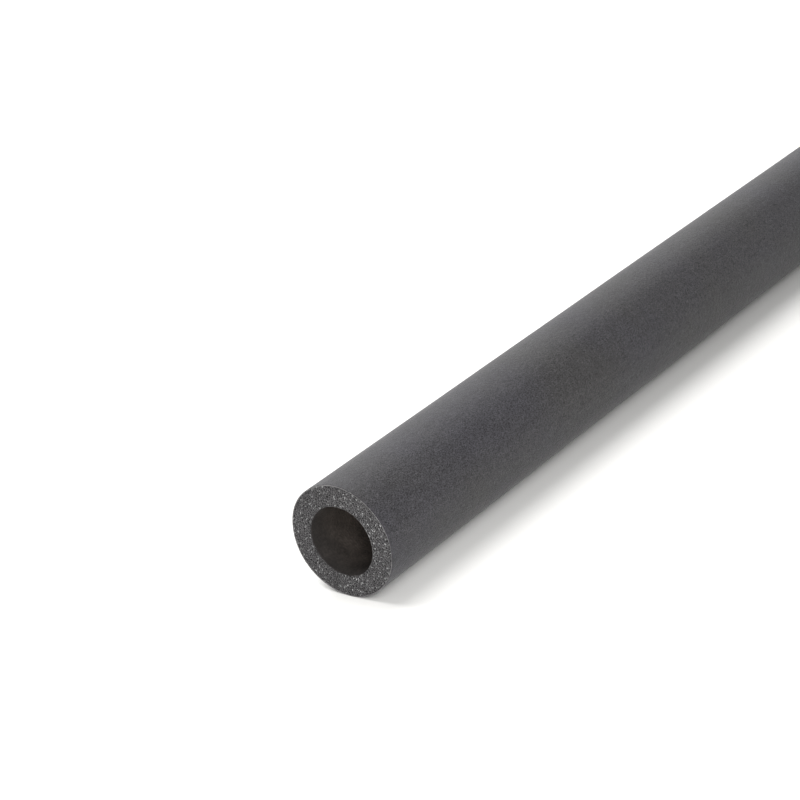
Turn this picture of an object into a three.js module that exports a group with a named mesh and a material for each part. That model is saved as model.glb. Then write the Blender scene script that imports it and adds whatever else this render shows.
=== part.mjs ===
// Pipe insulation tube: one straight length of closed-cell rubber foam lagging for a copper pipe.
// The foam is extruded as a plain ring section and cut square to length, so it is one solid.
// Millimetres. The bore runs along X with the origin at its middle, and the tube lies with +Z up.

import * as THREE from "three";

// Driving dimensions
const PIPE_DIAMETER = 28; // the pipe that the tube slides over
const BORE_EASE = 1; // how much wider than the pipe the bore is
const WALL = 9; // foam thickness
const LENGTH = 1000;

// Facets around the tube, a multiple of four so that it lies flat and square in its box
const FACETS = 96;

const BORE_RADIUS = (PIPE_DIAMETER + BORE_EASE) / 2;
const OUTER_RADIUS = BORE_RADIUS + WALL;

// Charcoal nitrile rubber foam with a dull skin
const foam = new THREE.MeshStandardMaterial({ color: 0x3f3f42, roughness: 0.8, metalness: 0 });

// The wall's section, from the bore's edge at one cut end round to the same point again
function wallSection() {
  const half = LENGTH / 2;
  return [
    new THREE.Vector2(BORE_RADIUS, -half),
    new THREE.Vector2(OUTER_RADIUS, -half),
    new THREE.Vector2(OUTER_RADIUS, half),
    new THREE.Vector2(BORE_RADIUS, half),
    new THREE.Vector2(BORE_RADIUS, -half),
  ];
}

// The lathe turns about Y, starting half a facet round, so that a facet's middle is straight down
function foamTube() {
  const halfFacet = Math.PI / FACETS;
  const tube = new THREE.Mesh(new THREE.LatheGeometry(wallSection(), FACETS, halfFacet), foam);
  tube.name = "foam_tube";
  tube.rotation.z = -Math.PI / 2;
  return tube;
}

const lagging = new THREE.Group();
lagging.add(foamTube());

export default lagging;
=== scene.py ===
"""One straight length of rubber foam pipe lagging, lying on a pale floor.

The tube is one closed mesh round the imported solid's sizes: a wavy skin, a bore, and two cut ends whose
foam cells are open cups between thin walls. It is built in millimetres and turned to metres at the end.
"""

import math

import bmesh
import bpy
import numpy as np
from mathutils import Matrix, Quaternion, Vector, geometry


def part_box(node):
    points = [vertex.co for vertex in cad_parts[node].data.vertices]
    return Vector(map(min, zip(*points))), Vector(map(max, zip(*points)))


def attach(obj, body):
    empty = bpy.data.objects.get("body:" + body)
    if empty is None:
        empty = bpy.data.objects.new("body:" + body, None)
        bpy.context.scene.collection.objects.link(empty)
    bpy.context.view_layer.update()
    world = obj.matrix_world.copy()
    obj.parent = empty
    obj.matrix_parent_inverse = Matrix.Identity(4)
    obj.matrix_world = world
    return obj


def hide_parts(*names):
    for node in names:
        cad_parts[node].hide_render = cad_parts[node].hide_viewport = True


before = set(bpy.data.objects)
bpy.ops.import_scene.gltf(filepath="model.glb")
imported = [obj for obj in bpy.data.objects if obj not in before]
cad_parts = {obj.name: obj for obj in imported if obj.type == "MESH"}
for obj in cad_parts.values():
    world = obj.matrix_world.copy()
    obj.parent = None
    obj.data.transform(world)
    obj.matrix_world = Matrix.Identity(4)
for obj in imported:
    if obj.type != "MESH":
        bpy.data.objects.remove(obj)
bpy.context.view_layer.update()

MM = 0.001
FULL_TURN = 2 * math.pi
SEED = 28

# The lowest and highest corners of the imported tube, and the floor that it lies on, in metres
LOW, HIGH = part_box("foam_tube")
FLOOR_HEIGHT = LOW.z

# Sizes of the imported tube, in millimetres
LENGTH = (HIGH.x - LOW.x) / MM
OUTER_RADIUS = (HIGH.z - LOW.z) / 2 / MM
BORE_RADIUS = min(math.hypot(v.co.y, v.co.z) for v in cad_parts["foam_tube"].data.vertices) / MM

# Material slots of the mesh
SKIN, RIM, CUT, MEMBRANE, BORE = range(5)

# Points round the tube, and the spacing of its rings in millimetres
SKIN_POINTS = 216
SKIN_RING_GAP = 7.5
BORE_POINTS = 144
BORE_RING_GAP = 18

# How far the rings near a cut end are from it, and how rounded and how ragged its edges are, in millimetres
NEAR_CUT = (0, 0.09, 0.5, 1.2, 2.6, 5)
EDGE_ROUNDING = 0.07
EDGE_RAGGEDNESS = 0.09

# The two thin denser skins at the edges of a cut end, in millimetres
SKIN_THICKNESS = 0.38
BORE_SKIN_THICKNESS = 0.15

# Foam cells of a cut end, in millimetres: how close to an edge a centre may be, from how far in the centres
# are mirrored beyond the edge, and how close two points are that count as one
WIDEST_CELL = 1.1
NARROWEST_CELL = 0.42
CELL_TRIES = 24000
CELL_EDGE_GAP = 0.17
MIRROR_DEPTH = 1.8
SAME_POINT = 1e-6

# Walls between the cells, in millimetres: half their width, how far their tops slope, and how uneven they are
WALL_HALF_WIDTH = 0.065
WALL_ROUNDING = 0.025
CORNER_UNEVENNESS = 0.02

# The cut's slightly uneven plane: its depth in millimetres, and its waves in radians for each millimetre
CUT_UNEVENNESS = 0.07
CUT_WAVES = (0.12, 0.22, 0.32, 0.42)

# Cups of the cells: their depths as shares of half their width, the least share of a cell that its mouth
# keeps, and how far their lowest points stray, as a share of the width
SHALLOWEST_CUP, DEEPEST_CUP = 0.3, 2.2
NARROWEST_MOUTH = 0.5
CUP_OFFSET = 0.06

# The floor of a cup, as a share of its mouth and of its depth, and the share of cups that keep a facet of
# glossy membrane whose pale colour is a painted glint
CUP_FLOOR = 0.62
CUP_FLOOR_DEPTH = 0.8
GLINT_MEMBRANE_CHANCE = 0.8

# Slow waves of the skin and the bore: how many, how high and how long along the tube, in millimetres, and
# the most lobes that one of them has round it
SKIN_WAVES = dict(count=26, height=0.09, shortest=90, longest=700)
BORE_WAVES = dict(count=20, height=0.12, shortest=30, longest=260)
MOST_LOBES = 6

# Colours of the foam and the floor
SKIN_GREY = (0.0307, 0.0296, 0.0304, 1)
SKIN_BLUE_GREY = (0.0305, 0.0294, 0.0337, 1)
# Painted highlight: the pale colour of the thin line at the skin's cut edge
RIM_PAINTED_HIGHLIGHT_GREY = (0.12, 0.116, 0.1185)
WALL_GREY = (0.076, 0.073, 0.075)
# Painted shade: the darker colour deep in the cut foam's cups
CUP_PAINTED_SHADE_GREY = (0.0185, 0.0175, 0.0185)
# Painted glint: the pale colour of the glossy membrane facets in the cups
MEMBRANE_PAINTED_GLINT_GREY = (0.235, 0.235, 0.235)
BORE_BROWN = (0.018, 0.0155, 0.0143, 1)
# Painted light: the paler colour that the bore's wall takes on deeper in, where less light reaches
BORE_PAINTED_LIGHT = (0.245, 0.202, 0.172, 1)
FLOOR_WHITE = (0.8, 0.795, 0.778)

# How far a noise usually goes from a half, and over what share of a cup's depth the wall's colour fades into
# the cup's painted shade
NOISE_REACH = 0.2
CUP_SHADE_FADE = 0.5

# How far in from a cut the bore's painted light, a paler colour deeper in where less light reaches, has its
# full strength, in millimetres, and how slowly it starts
PAINTED_LIGHT_DEPTH = 42
PAINTED_LIGHT_POWER = 1.6

# The camera: a picture 800 pixels wide, aimed at a point beside the tube near its left end. The point and the
# distance are in metres, the other three in degrees.
PICTURE_PIXELS = 800
FOCAL_PIXELS = 2300
AIM = Vector((-0.3855, 0.0553, 0))
CAMERA_DISTANCE = 0.9798
CAMERA_BEARING = -140.9
CAMERA_HEIGHT = 23.70
CAMERA_ROLL = -8.02

# The studio's floor and softboxes, in metres: the place and aim are those of the softbox at the +X end
FLOOR_HALF_SIZE = 40
SOFTBOX_SIZE = 0.4
SOFTBOX_PLACE = (0.76, -0.4, 0.3)
SOFTBOX_AIM = (0.45, 0, 0)

# The surround: where its white horizon ends and its dim sky starts, as the rise of a direction of length 1
HORIZON_TOP, SKY_START = 0.04, 0.16
HORIZON_STRENGTH, SKY_STRENGTH = 1.0, 0.35


class Surface:
    """The points and faces of one closed mesh, gathered stretch by stretch."""

    def __init__(self):
        self.points = []
        self.tones = []
        self.depths = []
        self.faces = []
        self.slots = []
        self.smooth = []

    def add_points(self, points, tone=0.5, depth=0.0):
        """Adds points that share a cell's tone and a depth in its cup, and returns their numbers."""
        first = len(self.points)
        self.points.extend(tuple(p) for p in points)
        self.tones.extend([tone] * len(points))
        self.depths.extend([depth] * len(points))
        return list(range(first, len(self.points)))

    def add_face(self, corners, slot, smooth=True):
        self.faces.append(corners)
        self.slots.append(slot)
        self.smooth.append(smooth)

    def join_loops(self, loop, other, slot, smooth=True):
        """Quads between two loops of equally many points."""
        for k, point in enumerate(loop):
            after = (k + 1) % len(loop)
            self.add_face((point, loop[after], other[after], other[k]), slot, smooth)

    def turn_of(self, number):
        """How far round the bore's axis a point is."""
        _, y, z = self.points[number]
        return math.atan2(z, y)

    def zip_loops(self, loop, other, slot):
        """Triangles between two loops round the bore's axis that have different numbers of points."""
        rows = [sorted((self.turn_of(n), n) for n in row) for row in (loop, other)]
        sizes = [len(row) for row in rows]
        done = [0, 0]

        def place(side, k):
            turn, number = rows[side][k % sizes[side]]
            return turn + (FULL_TURN if k >= sizes[side] else 0), number

        def next_turn(side):
            return place(side, done[side] + 1)[0] if done[side] < sizes[side] else math.inf

        while done[0] < sizes[0] or done[1] < sizes[1]:
            side = 0 if next_turn(0) <= next_turn(1) else 1
            here = place(side, done[side])[1]
            after = place(side, done[side] + 1)[1]
            across = place(1 - side, done[1 - side])[1]
            self.add_face((here, after, across), slot, smooth=False)
            done[side] += 1


def ring_places(gap):
    """Places along the tube of a sleeve's rings: close together near both cuts and even between them."""
    half = LENGTH / 2
    last_near = NEAR_CUT[-1]
    steps = round((LENGTH - 2 * last_near) / gap)
    middle = np.linspace(-half + last_near, half - last_near, steps + 1)
    left = [-half + d for d in NEAR_CUT[:-1]]
    right = [half - d for d in reversed(NEAR_CUT[:-1])]
    return [*left, *middle, *right]


def add_sleeve(surface, rng, radius, rounding, count, gap, slot):
    """The skin or the bore: rings from cut to cut. Returns the loops of its two edges, left one first."""
    turns = np.arange(count) / count * FULL_TURN - math.pi
    places = ring_places(gap)
    rings = []
    for k, x in enumerate(places):
        at_edge = k in (0, len(places) - 1)
        radii = np.full(count, radius + (rounding if at_edge else 0))
        along = np.full(count, x)
        if at_edge:
            radii += rng.normal(0, EDGE_RAGGEDNESS / 2, count)
            along -= np.sign(x) * np.abs(rng.normal(0, EDGE_RAGGEDNESS, count))
        rings.append(surface.add_points(np.stack([along, radii * np.cos(turns), radii * np.sin(turns)], 1)))
    for ring, after in zip(rings, rings[1:]):
        surface.join_loops(ring, after, slot)
    return rings[0], rings[-1]


def scatter_centres(rng, inner, outer):
    """Centres of cells over a ring: wide cells first, then narrower ones in the gaps between them."""
    widths = np.linspace(WIDEST_CELL, NARROWEST_CELL, CELL_TRIES)
    reach = (inner + CELL_EDGE_GAP) ** 2, (outer - CELL_EDGE_GAP) ** 2
    radii = np.sqrt(rng.uniform(*reach, CELL_TRIES))
    turns = rng.uniform(0, FULL_TURN, CELL_TRIES)
    tries = np.stack([radii * np.cos(turns), radii * np.sin(turns)], 1)
    centres = np.zeros((CELL_TRIES, 2))
    taken = np.zeros(CELL_TRIES)
    count = 0
    for place, width in zip(tries, widths):
        away = centres[:count] - place
        if np.all(np.hypot(away[:, 0], away[:, 1]) > (taken[:count] + width) / 2):
            centres[count] = place
            taken[count] = width
            count += 1
    return centres[:count]


def circle_centres(a, b, c):
    """Centres of the circles through three points each."""
    ab, ac = b - a, c - a
    double_area = 2 * (ab[:, 0] * ac[:, 1] - ab[:, 1] * ac[:, 0])
    ab_squared, ac_squared = (ab**2).sum(1), (ac**2).sum(1)
    x = (ac[:, 1] * ab_squared - ab[:, 1] * ac_squared) / double_area
    y = (ab[:, 0] * ac_squared - ac[:, 0] * ab_squared) / double_area
    return a + np.stack([x, y], 1)


def split_ring(centres, inner, outer):
    """Splits a ring into cells round the centres, with mirrored centres beyond its two edges.

    Returns the corners where walls meet, each cell's corners in turn, and the two edges' corners."""
    radii = np.hypot(centres[:, 0], centres[:, 1])
    mirrored = []
    for edge in (inner, outer):
        near = np.abs(radii - edge) < MIRROR_DEPTH
        mirrored.append(centres[near] * (2 * edge / radii[near] - 1)[:, None])
    points = np.concatenate([centres, *mirrored])
    triangles = np.array(geometry.delaunay_2d_cdt([Vector(p) for p in points], [], [], 0, SAME_POINT)[2])
    inside = triangles < len(centres)
    triangles, inside = triangles[inside.any(1)], inside[inside.any(1)]
    corners = circle_centres(*(points[triangles[:, k]] for k in range(3)))

    at_edge = ~inside.all(1)
    corner_radii = np.hypot(corners[:, 0], corners[:, 1])
    at_outer = at_edge & (corner_radii > (inner + outer) / 2)
    at_inner = at_edge & ~at_outer
    for edge, there in ((outer, at_outer), (inner, at_inner)):
        corners[there] *= (edge / corner_radii[there])[:, None]

    cells = [[] for _ in centres]
    for corner, triangle in enumerate(triangles):
        for centre in triangle:
            if centre < len(centres):
                cells[centre].append(corner)
    for centre, cell in zip(centres, cells):
        cell.sort(key=lambda corner: math.atan2(*(corners[corner] - centre)[::-1]))
    return corners, cells, np.flatnonzero(at_outer), np.flatnonzero(at_inner)


def add_cup(surface, rng, lift, corners, corner_numbers):
    """One cell: its walls' tops from the shared corners inwards, then a cup down to its floor."""
    middle = corners.mean(0)
    spokes = corners - middle
    lengths = np.hypot(spokes[:, 0], spokes[:, 1])
    width = 2 * lengths.mean()
    tone = rng.random()
    depth = width * rng.uniform(SHALLOWEST_CUP, DEEPEST_CUP) / 2
    lowest = middle + rng.normal(0, CUP_OFFSET, 2) * width
    mouth = middle + spokes * np.maximum(1 - WALL_HALF_WIDTH / lengths, NARROWEST_MOUTH)[:, None]
    floor = lowest + (mouth - lowest) * CUP_FLOOR
    mouth_loop = surface.add_points(lift(mouth, -WALL_ROUNDING), tone, 0.0)
    floor_loop = surface.add_points(lift(floor, -depth * CUP_FLOOR_DEPTH), tone, CUP_FLOOR_DEPTH)
    bottom = surface.add_points(lift(lowest[None], -depth), tone, 1.0)[0]
    surface.join_loops(corner_numbers, mouth_loop, CUT, smooth=False)
    membrane = int(rng.integers(len(mouth_loop))) if rng.random() < GLINT_MEMBRANE_CHANCE else None
    for k, (point, floor_point) in enumerate(zip(mouth_loop, floor_loop)):
        after = (k + 1) % len(mouth_loop)
        torn = k == membrane
        facet = (point, mouth_loop[after], floor_loop[after], floor_point)
        # Painted glint: a torn facet takes the pale membrane material
        surface.add_face(facet, MEMBRANE if torn else CUT, smooth=not torn)
        surface.add_face((floor_point, floor_loop[after], bottom), CUT)


def add_cut_end(surface, rng, side, skin_edge, bore_edge):
    """A cut end: cells over the foam, and the thin denser skins that join them to the two sleeves."""
    inner = BORE_RADIUS + BORE_SKIN_THICKNESS
    outer = OUTER_RADIUS - SKIN_THICKNESS
    centres = scatter_centres(rng, inner, outer)
    corners, cells, outer_corners, inner_corners = split_ring(centres, inner, outer)
    directions = rng.uniform(0, FULL_TURN, len(CUT_WAVES))
    phases = rng.uniform(0, FULL_TURN, len(CUT_WAVES))

    def lift(flat, height):
        """Places on the cut end, raised from its slightly uneven plane by a height."""
        uneven = 0
        for wave, direction, phase in zip(CUT_WAVES, directions, phases):
            along = flat[:, 0] * math.cos(direction) + flat[:, 1] * math.sin(direction)
            uneven = uneven + np.sin(along * wave + phase) - 1
        height = height + uneven * CUT_UNEVENNESS / len(CUT_WAVES)
        return np.stack([side * (LENGTH / 2 + height), flat[:, 0], flat[:, 1]], 1)

    numbers = surface.add_points(lift(corners, rng.normal(0, CORNER_UNEVENNESS, len(corners))))
    for cell in cells:
        add_cup(surface, rng, lift, corners[cell], [numbers[corner] for corner in cell])
    surface.zip_loops(skin_edge, [numbers[corner] for corner in outer_corners], RIM)
    surface.zip_loops(bore_edge, [numbers[corner] for corner in inner_corners], CUT)


def slow_waves(rng, turns, along, count, height, shortest, longest):
    """A sum of random waves round and along the tube."""
    total = np.zeros(len(turns))
    for _ in range(count):
        around = rng.integers(0, MOST_LOBES + 1)
        length = shortest * (longest / shortest) ** rng.random()
        phase = rng.uniform(0, FULL_TURN)
        total += np.cos(around * turns + FULL_TURN * along / length + phase)
    return total * height / math.sqrt(count)


def give_life(rng, points):
    """Moves the points of the true ring section by the foam's slow waves, and keeps them above the floor."""
    turns = np.arctan2(points[:, 2], points[:, 1])
    radii = np.hypot(points[:, 1], points[:, 2])
    share = np.clip((radii - BORE_RADIUS) / (OUTER_RADIUS - BORE_RADIUS), 0, 1)
    skin = slow_waves(rng, turns, points[:, 0], **SKIN_WAVES)
    bore = slow_waves(rng, turns, points[:, 0], **BORE_WAVES)
    radii = radii + skin * share + bore * (1 - share)
    moved = np.stack([points[:, 0], radii * np.cos(turns), radii * np.sin(turns)], 1)
    moved[:, 2] = np.maximum(moved[:, 2], FLOOR_HEIGHT / MM)
    return moved


def face_outwards(mesh):
    """Turns every face of a closed mesh to point out of it."""
    work = bmesh.new()
    work.from_mesh(mesh)
    bmesh.ops.recalc_face_normals(work, faces=work.faces)
    work.to_mesh(mesh)
    work.free()


def add_object(name, data):
    thing = bpy.data.objects.new(name, data)
    bpy.context.scene.collection.objects.link(thing)
    return thing


def make_tube():
    """The whole tube as one closed mesh, with its cells' tones and depths kept for the materials."""
    rng = np.random.default_rng(SEED)
    surface = Surface()
    skin = add_sleeve(surface, rng, OUTER_RADIUS, -EDGE_ROUNDING, SKIN_POINTS, SKIN_RING_GAP, SKIN)
    bore = add_sleeve(surface, rng, BORE_RADIUS, EDGE_ROUNDING, BORE_POINTS, BORE_RING_GAP, BORE)
    for side, skin_edge, bore_edge in zip((-1, 1), skin, bore):
        add_cut_end(surface, rng, side, skin_edge, bore_edge)

    mesh = bpy.data.meshes.new("foam_tube_surface")
    points = give_life(rng, np.array(surface.points)) * MM
    mesh.from_pydata(points.tolist(), [], surface.faces)
    mesh.polygons.foreach_set("material_index", surface.slots)
    mesh.polygons.foreach_set("use_smooth", surface.smooth)
    for name, values in (("cell_tone", surface.tones), ("cell_depth", surface.depths)):
        mesh.attributes.new(name, "FLOAT", "POINT").data.foreach_set("value", values)
    tube = add_object("foam_tube_surface", mesh)
    face_outwards(mesh)
    return tube


def new_material(name):
    """A material with its shader, and the object coordinates that its patterns use."""
    material = bpy.data.materials.new(name)
    material.use_nodes = True
    tree = material.node_tree
    where = tree.nodes.new("ShaderNodeTexCoord").outputs["Object"]
    return material, tree, tree.nodes["Principled BSDF"], where


def put(tree, value, socket):
    """Links an output to a socket, or sets the socket to a plain value."""
    if isinstance(value, bpy.types.NodeSocket):
        tree.links.new(value, socket)
    else:
        socket.default_value = value


def noise(tree, where, size, detail=3.0, stretch=None):
    """A soft random field from 0 to 1, with blotches about size metres wide."""
    if stretch:
        mapping = tree.nodes.new("ShaderNodeMapping")
        mapping.inputs["Scale"].default_value = stretch
        tree.links.new(where, mapping.inputs["Vector"])
        where = mapping.outputs["Vector"]
    node = tree.nodes.new("ShaderNodeTexNoise")
    node.inputs["Scale"].default_value = 1 / size
    node.inputs["Detail"].default_value = detail
    tree.links.new(where, node.inputs["Vector"])
    return node.outputs[0]


def calculate(tree, operation, a, b=None):
    node = tree.nodes.new("ShaderNodeMath")
    node.operation = operation
    for socket, value in zip(node.inputs, (a, b)):
        if value is not None:
            put(tree, value, socket)
    return node.outputs[0]


def product(tree, first, *others):
    """All the fields multiplied together."""
    total = first
    for field in others:
        total = calculate(tree, "MULTIPLY", total, field)
    return total


def remap(tree, value, low, high, to_low, to_high):
    """Moves a field from one range to another, held within the second."""
    node = tree.nodes.new("ShaderNodeMapRange")
    for socket, amount in zip(node.inputs, (value, low, high, to_low, to_high)):
        put(tree, amount, socket)
    return node.outputs[0]


def between(tree, field, low, high, reach=NOISE_REACH):
    """A value that goes from low to high, where the field goes from reach below a half to reach above it."""
    return remap(tree, field, 0.5 - reach, 0.5 + reach, low, high)


def vary(tree, field, spread, reach=NOISE_REACH):
    """A factor that goes up to spread away from 1, where the field goes up to reach away from a half."""
    return between(tree, field, 1 - spread, 1 + spread, reach)


def mix_colors(tree, share, a, b):
    node = tree.nodes.new("ShaderNodeMix")
    node.data_type = "RGBA"
    put(tree, share, node.inputs[0])
    put(tree, a, node.inputs[6])
    put(tree, b, node.inputs[7])
    return node.outputs[2]


def scale_color(tree, color, amount):
    node = tree.nodes.new("ShaderNodeVectorMath")
    node.operation = "SCALE"
    put(tree, color, node.inputs[0])
    put(tree, amount, node.inputs["Scale"])
    return node.outputs[0]


def bump(tree, height, distance, below=None):
    """A bump whose heights span a distance in metres, on top of another bump."""
    node = tree.nodes.new("ShaderNodeBump")
    node.inputs["Distance"].default_value = distance
    tree.links.new(height, node.inputs["Height"])
    if below:
        tree.links.new(below, node.inputs["Normal"])
    return node.outputs["Normal"]


def attribute(tree, name):
    node = tree.nodes.new("ShaderNodeAttribute")
    node.attribute_name = name
    return node.outputs["Fac"]


def skin_material():
    """Dull charcoal skin: a fine pebble grain, faint drawn lines along it, and a slight dusty bloom."""
    material, tree, shader, where = new_material("foam_skin")
    cloud = noise(tree, where, size=0.045)
    blotch = noise(tree, where, size=0.009, detail=4.0)
    grain = noise(tree, where, size=0.0016, detail=4.0)
    speckle = noise(tree, where, size=0.0005, detail=2.0)
    lines = noise(tree, where, size=0.0022, stretch=(0.012, 1, 1))

    color = mix_colors(tree, between(tree, cloud, 0, 1, reach=0.15), SKIN_GREY, SKIN_BLUE_GREY)
    shade = product(
        tree,
        vary(tree, blotch, 0.07, reach=0.25),
        vary(tree, grain, 0.2, reach=0.25),
        vary(tree, speckle, 0.75),
        vary(tree, lines, 0.05),
    )
    put(tree, scale_color(tree, color, shade), shader.inputs["Base Color"])
    put(tree, between(tree, blotch, 0.47, 0.55), shader.inputs["Roughness"])
    shader.inputs["Specular IOR Level"].default_value = 0.14
    shader.inputs["Sheen Weight"].default_value = 0.1
    shader.inputs["Sheen Roughness"].default_value = 0.4

    relief = bump(tree, lines, distance=0.00006)
    relief = bump(tree, grain, distance=0.00015, below=relief)
    relief = bump(tree, speckle, distance=0.00014, below=relief)
    put(tree, relief, shader.inputs["Normal"])
    return material


def rim_material():
    """The skin's cut edge: a thin line, painted paler than the skin as a painted highlight of the edge, with
    small scuffs.
    """
    material, tree, shader, where = new_material("foam_rim_painted_highlight")
    scuff = noise(tree, where, size=0.0011, detail=4.0)
    patch = noise(tree, where, size=0.012)
    shade = product(tree, vary(tree, scuff, 0.3), vary(tree, patch, 0.45, reach=0.15))
    # Painted highlight: the rim's pale colour, varied by scuffs and patches
    put(tree, scale_color(tree, RIM_PAINTED_HIGHLIGHT_GREY, shade), shader.inputs["Base Color"])
    put(tree, between(tree, scuff, 0.5, 0.75), shader.inputs["Roughness"])
    put(tree, bump(tree, scuff, distance=0.0001), shader.inputs["Normal"])
    return material


def cut_material():
    """Cut foam: paler wall tops, and shiny cups whose colour darkens with depth as painted shade, each of its
    own tone.
    """
    material, tree, shader, where = new_material("foam_cut")
    tone = attribute(tree, "cell_tone")
    depth = attribute(tree, "cell_depth")
    grain = noise(tree, where, size=0.0004)
    patch = noise(tree, where, size=0.006)

    wall = scale_color(tree, WALL_GREY, vary(tree, grain, 0.9))
    painted_shade_cup = scale_color(tree, CUP_PAINTED_SHADE_GREY, vary(tree, tone, 1, reach=0.5))
    # Painted shade: the colour darkens from the wall's grey to the cup's grey deeper in each cup
    color = mix_colors(tree, remap(tree, depth, 0, CUP_SHADE_FADE, 0, 1), wall, painted_shade_cup)
    put(tree, scale_color(tree, color, vary(tree, patch, 0.08)), shader.inputs["Base Color"])
    put(tree, remap(tree, depth, 0, CUP_SHADE_FADE, 0.6, 0.3), shader.inputs["Roughness"])
    shader.inputs["Specular IOR Level"].default_value = 0.35
    put(tree, bump(tree, grain, distance=0.00004), shader.inputs["Normal"])
    return material


def membrane_painted_glint_material():
    """A torn bit of a cell's membrane: glossy, with a pale colour that is a painted glint."""
    material, tree, shader, where = new_material("foam_membrane_painted_glint")
    painted_glint_noise = noise(tree, where, size=0.0009)
    # Painted glint: a pale colour, varied by noise
    put(tree, scale_color(tree, MEMBRANE_PAINTED_GLINT_GREY, vary(tree, painted_glint_noise, 0.7)), shader.inputs["Base Color"])
    shader.inputs["Roughness"].default_value = 0.3
    return material


def bore_material():
    """The bore's wall: warm brown black, with small pits and faint lines, and painted paler away from the
    cuts as painted light in its shaded depth.
    """
    material, tree, shader, where = new_material("foam_bore")
    blotch = noise(tree, where, size=0.007, detail=4.0)
    pits = noise(tree, where, size=0.0009)
    lines = noise(tree, where, size=0.0018, detail=2.0, stretch=(0.02, 1, 1))
    shade = product(tree, vary(tree, blotch, 0.4, reach=0.25), vary(tree, pits, 0.3))

    place = tree.nodes.new("ShaderNodeSeparateXYZ")
    tree.links.new(where, place.inputs[0])
    from_middle = calculate(tree, "ABSOLUTE", place.outputs["X"])
    half = LENGTH / 2 * MM
    inwards = remap(tree, from_middle, half - PAINTED_LIGHT_DEPTH * MM, half, 1, 0)
    painted_light = calculate(tree, "POWER", inwards, PAINTED_LIGHT_POWER)
    # Painted light: the colour turns paler deeper in the bore, where less light reaches
    color = mix_colors(tree, painted_light, BORE_BROWN, BORE_PAINTED_LIGHT)
    put(tree, scale_color(tree, color, shade), shader.inputs["Base Color"])
    put(tree, between(tree, pits, 0.65, 0.85), shader.inputs["Roughness"])
    shader.inputs["Specular IOR Level"].default_value = 0.3

    relief = bump(tree, lines, distance=0.0001)
    relief = bump(tree, pits, distance=0.00025, below=relief)
    put(tree, relief, shader.inputs["Normal"])
    return material


def floor_material():
    """A plain pale studio floor."""
    material, tree, shader, where = new_material("floor")
    shade = between(tree, noise(tree, where, size=0.3), 0.985, 1)
    put(tree, scale_color(tree, FLOOR_WHITE, shade), shader.inputs["Base Color"])
    shader.inputs["Roughness"].default_value = 0.9
    shader.inputs["Specular IOR Level"].default_value = 0.1
    return material


def add_floor():
    mesh = bpy.data.meshes.new("floor")
    signs = ((-1, -1), (1, -1), (1, 1), (-1, 1))
    corners = [(x * FLOOR_HALF_SIZE, y * FLOOR_HALF_SIZE, FLOOR_HEIGHT) for x, y in signs]
    mesh.from_pydata(corners, [], [(0, 1, 2, 3)])
    mesh.materials.append(floor_material())
    floor = add_object("floor", mesh)


def turn_back(thing, outward, roll=0):
    """Turns a camera or a light so that its back points outward, then rolls it by degrees."""
    level = Vector(outward).to_track_quat("Z", "Y")
    thing.rotation_mode = "QUATERNION"
    thing.rotation_quaternion = level @ Quaternion((0, 0, 1), math.radians(roll))


def add_camera():
    """The photograph's viewpoint."""
    data = bpy.data.cameras.new("camera")
    data.lens = FOCAL_PIXELS / PICTURE_PIXELS * data.sensor_width
    camera = add_object("camera", data)
    bearing, height = math.radians(CAMERA_BEARING), math.radians(CAMERA_HEIGHT)
    level = math.cos(height)
    outward = Vector((math.cos(bearing) * level, math.sin(bearing) * level, math.sin(height)))
    camera.location = AIM + outward * CAMERA_DISTANCE
    turn_back(camera, outward, CAMERA_ROLL)
    bpy.context.scene.camera = camera


def add_surround():
    """A plain white surround, as bright as the floor at the horizon and dimmer above it."""
    world = bpy.data.worlds.new("surround")
    world.use_nodes = True
    tree = world.node_tree
    background = tree.nodes["Background"]
    background.inputs["Color"].default_value = (1, 1, 1, 1)
    direction = tree.nodes.new("ShaderNodeSeparateXYZ")
    tree.links.new(tree.nodes.new("ShaderNodeTexCoord").outputs["Generated"], direction.inputs[0])
    height = direction.outputs["Z"]
    strength = remap(tree, height, HORIZON_TOP, SKY_START, HORIZON_STRENGTH, SKY_STRENGTH)
    put(tree, strength, background.inputs["Strength"])
    bpy.context.scene.world = world


def add_distant_light(name, direction, width, strength):
    """A round patch of soft light, so far off that it is even over the whole floor."""
    data = bpy.data.lights.new(name, "SUN")
    data.angle = math.radians(width)
    data.energy = strength
    turn_back(add_object(name, data), direction)


def add_softbox(name, side, power):
    """A square area light in front of the end on one side, aimed at that end."""
    data = bpy.data.lights.new(name, "AREA")
    data.size = SOFTBOX_SIZE
    data.energy = power
    lamp = add_object(name, data)
    place, aim = (Vector((side * x, y, z)) for x, y, z in (SOFTBOX_PLACE, SOFTBOX_AIM))
    lamp.location = place
    turn_back(lamp, place - aim)
    lamp.visible_camera = False


def add_light():
    """Wide soft light from above and behind, and a small softbox in front of each end."""
    add_surround()
    add_distant_light("back_light", direction=(0.32, 0.6, 1.0), width=74, strength=4.6)
    add_softbox("near_softbox", side=-1, power=3.7)
    add_softbox("far_softbox", side=1, power=1.2)
    bpy.context.scene.view_settings.view_transform = "Standard"


tube = make_tube()
for make in (skin_material, rim_material, cut_material, membrane_painted_glint_material, bore_material):
    tube.data.materials.append(make())
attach(tube, "root")
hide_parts("foam_tube")

add_floor()
add_camera()
add_light()
